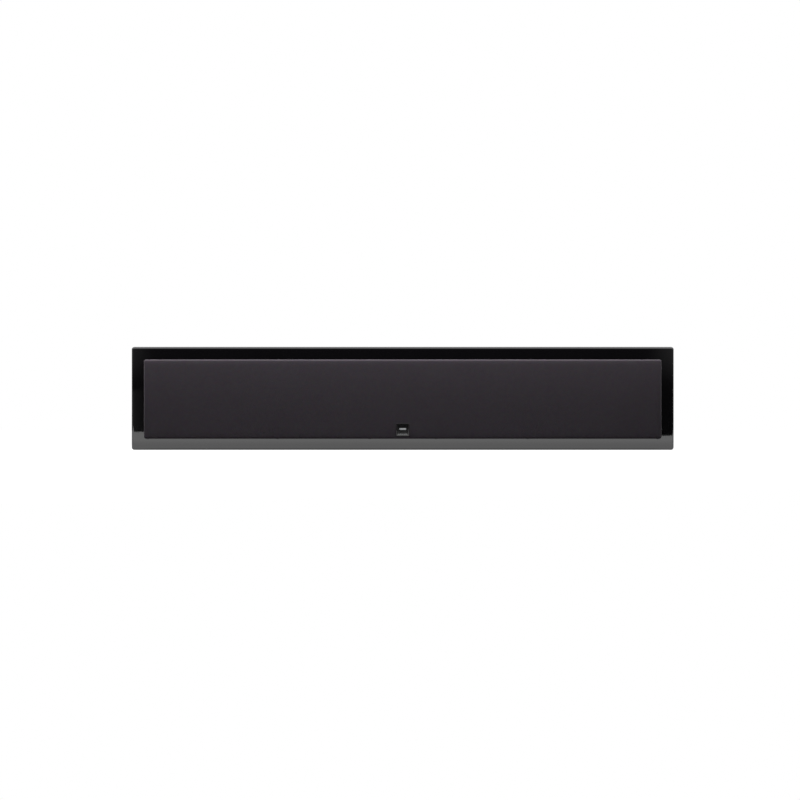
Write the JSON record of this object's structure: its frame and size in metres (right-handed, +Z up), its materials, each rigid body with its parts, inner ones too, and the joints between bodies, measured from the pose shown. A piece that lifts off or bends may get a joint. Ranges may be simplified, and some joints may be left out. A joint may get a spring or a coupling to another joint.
{
  "type": "on-wall speaker",
  "caption": "long low on-wall speaker with a gloss black cabinet, woofers, passive radiators and a tweeter behind a pull-off cloth grille",
  "frame": {"origin": "the middle of the rear face, in the plane of the wall", "axes": "+X along the cabinet, -Y out of the front and away from the wall, +Z up"},
  "size_m": [0.92, 0.0852, 0.175],
  "materials": {
    "gloss_lacquer": "high gloss black lacquer",
    "black_moulding": "fine moulded grain",
    "gasket_foam": "closed-cell foam",
    "zinc_steel": "bright zinc plate",
    "wadding": "soft polyester wadding",
    "grille_cloth": "fine knitted grille cloth",
    "badge_gloss": "polished black plastic",
    "soft_rubber": "soft matt rubber",
    "cone_pulp": "pressed fibre",
    "dome_cloth": "coated fine cloth",
    "copper_wire": "enamelled copper winding",
    "iron_plated": "grey zinc plate",
    "ferrite": "ground ferrite",
    "neodymium": "bright nickel plate",
    "spider_cloth": "resin-dipped cotton",
    "circuit_board": "green solder mask",
    "film_capacitor": "yellow tape wrap",
    "cement": "rough white cement",
    "gold_brass": "gold-plated brass",
    "red_cap": "red moulded plastic",
    "black_cap": "black moulded plastic",
    "wire_pvc": "smooth PVC insulation"
  },
  "bodies": {
    "root": {"cabinet_shell": "gloss_lacquer", "rear_cover": "black_moulding", "cover_gasket": "gasket_foam", "rear_screws": "zinc_steel", "keyhole_plate_left": "zinc_steel", "keyhole_plate_right": "zinc_steel", "damping_pad_left": "wadding", "damping_pad_right": "wadding", "grille_cups": "soft_rubber", "tweeter_faceplate": "black_moulding", "tweeter_pole_plate": "iron_plated", "tweeter_magnet": "neodymium", "tweeter_yoke": "iron_plated", "woofer_left_basket": "black_moulding", "woofer_left_trim_ring": "soft_rubber", "woofer_left_surround": "soft_rubber", "woofer_left_spider": "spider_cloth", "woofer_left_top_plate": "iron_plated", "woofer_left_magnet": "ferrite", "woofer_left_yoke": "iron_plated", "woofer_right_basket": "black_moulding", "woofer_right_trim_ring": "soft_rubber", "woofer_right_surround": "soft_rubber", "woofer_right_spider": "spider_cloth", "woofer_right_top_plate": "iron_plated", "woofer_right_magnet": "ferrite", "woofer_right_yoke": "iron_plated", "radiator_left_frame": "black_moulding", "radiator_left_surround": "soft_rubber", "radiator_right_frame": "black_moulding", "radiator_right_surround": "soft_rubber", "driver_screws": "zinc_steel", "crossover_board": "circuit_board", "chokes": "copper_wire", "capacitors": "film_capacitor", "resistors": "cement", "terminal_cup": "black_moulding", "binding_post_red": "gold_brass", "binding_post_black": "gold_brass", "post_nuts": "gold_brass", "internal_wiring": "wire_pvc"},
    "grille": {"grille_frame": "black_moulding", "grille_cloth": "grille_cloth", "grille_badge": "badge_gloss"},
    "woofer_left_mover": {"woofer_left_cone": "cone_pulp", "woofer_left_dust_cap": "cone_pulp", "woofer_left_voice_coil": "copper_wire"},
    "woofer_right_mover": {"woofer_right_cone": "cone_pulp", "woofer_right_dust_cap": "cone_pulp", "woofer_right_voice_coil": "copper_wire"},
    "radiator_left_mover": {"radiator_left_cone": "cone_pulp", "radiator_left_weight": "zinc_steel"},
    "radiator_right_mover": {"radiator_right_cone": "cone_pulp", "radiator_right_weight": "zinc_steel"},
    "tweeter_mover": {"tweeter_diaphragm": "dome_cloth", "tweeter_voice_coil": "copper_wire"},
    "washer_red": {"clamp_washer_red": "gold_brass"},
    "washer_black": {"clamp_washer_black": "gold_brass"},
    "cap_red": {"post_cap_red": "red_cap"},
    "cap_black": {"post_cap_black": "black_cap"}
  },
  "joints": [
    {"name": "grille_pull", "type": "slide", "parent": "root", "child": "grille", "axis": [0, -1, 0], "range_m": [0, 0.03]},
    {"name": "woofer_left_travel", "type": "slide", "parent": "root", "child": "woofer_left_mover", "axis": [0, -1, 0], "range_m": [-0.003, 0.003], "stiffness_N_per_m": 1000, "deforming": ["woofer_left_surround", "woofer_left_spider"]},
    {"name": "woofer_right_travel", "type": "slide", "parent": "root", "child": "woofer_right_mover", "axis": [0, -1, 0], "range_m": [-0.003, 0.003], "stiffness_N_per_m": 1000, "deforming": ["woofer_right_surround", "woofer_right_spider"]},
    {"name": "radiator_left_travel", "type": "slide", "parent": "root", "child": "radiator_left_mover", "axis": [0, -1, 0], "range_m": [-0.003, 0.003], "stiffness_N_per_m": 1000, "deforming": ["radiator_left_surround"]},
    {"name": "radiator_right_travel", "type": "slide", "parent": "root", "child": "radiator_right_mover", "axis": [0, -1, 0], "range_m": [-0.003, 0.003], "stiffness_N_per_m": 1000, "deforming": ["radiator_right_surround"]},
    {"name": "tweeter_travel", "type": "slide", "parent": "root", "child": "tweeter_mover", "axis": [0, -1, 0], "range_m": [-0.0003, 0.0003], "stiffness_N_per_m": 1200, "deforming": ["tweeter_diaphragm"]},
    {"name": "washer_red_lift", "type": "slide", "parent": "root", "child": "washer_red", "axis": [0, 1, 0], "range_m": [0, 0.0032]},
    {"name": "cap_red_turn", "type": "hinge", "parent": "washer_red", "child": "cap_red", "pos_m": [0.0095, -0.017, -0.029], "axis": [0, 1, 0], "range_deg": [0, 1442]},
    {"name": "washer_black_lift", "type": "slide", "parent": "root", "child": "washer_black", "axis": [0, 1, 0], "range_m": [0, 0.0032]},
    {"name": "cap_black_turn", "type": "hinge", "parent": "washer_black", "child": "cap_black", "pos_m": [-0.0095, -0.017, -0.029], "axis": [0, 1, 0], "range_deg": [0, 1442]}
  ],
  "couplings": [
    {"joint": "cap_red_turn", "follows": "washer_red_lift", "rad_per_m": 7854},
    {"joint": "cap_black_turn", "follows": "washer_black_lift", "rad_per_m": 7854}
  ]
}
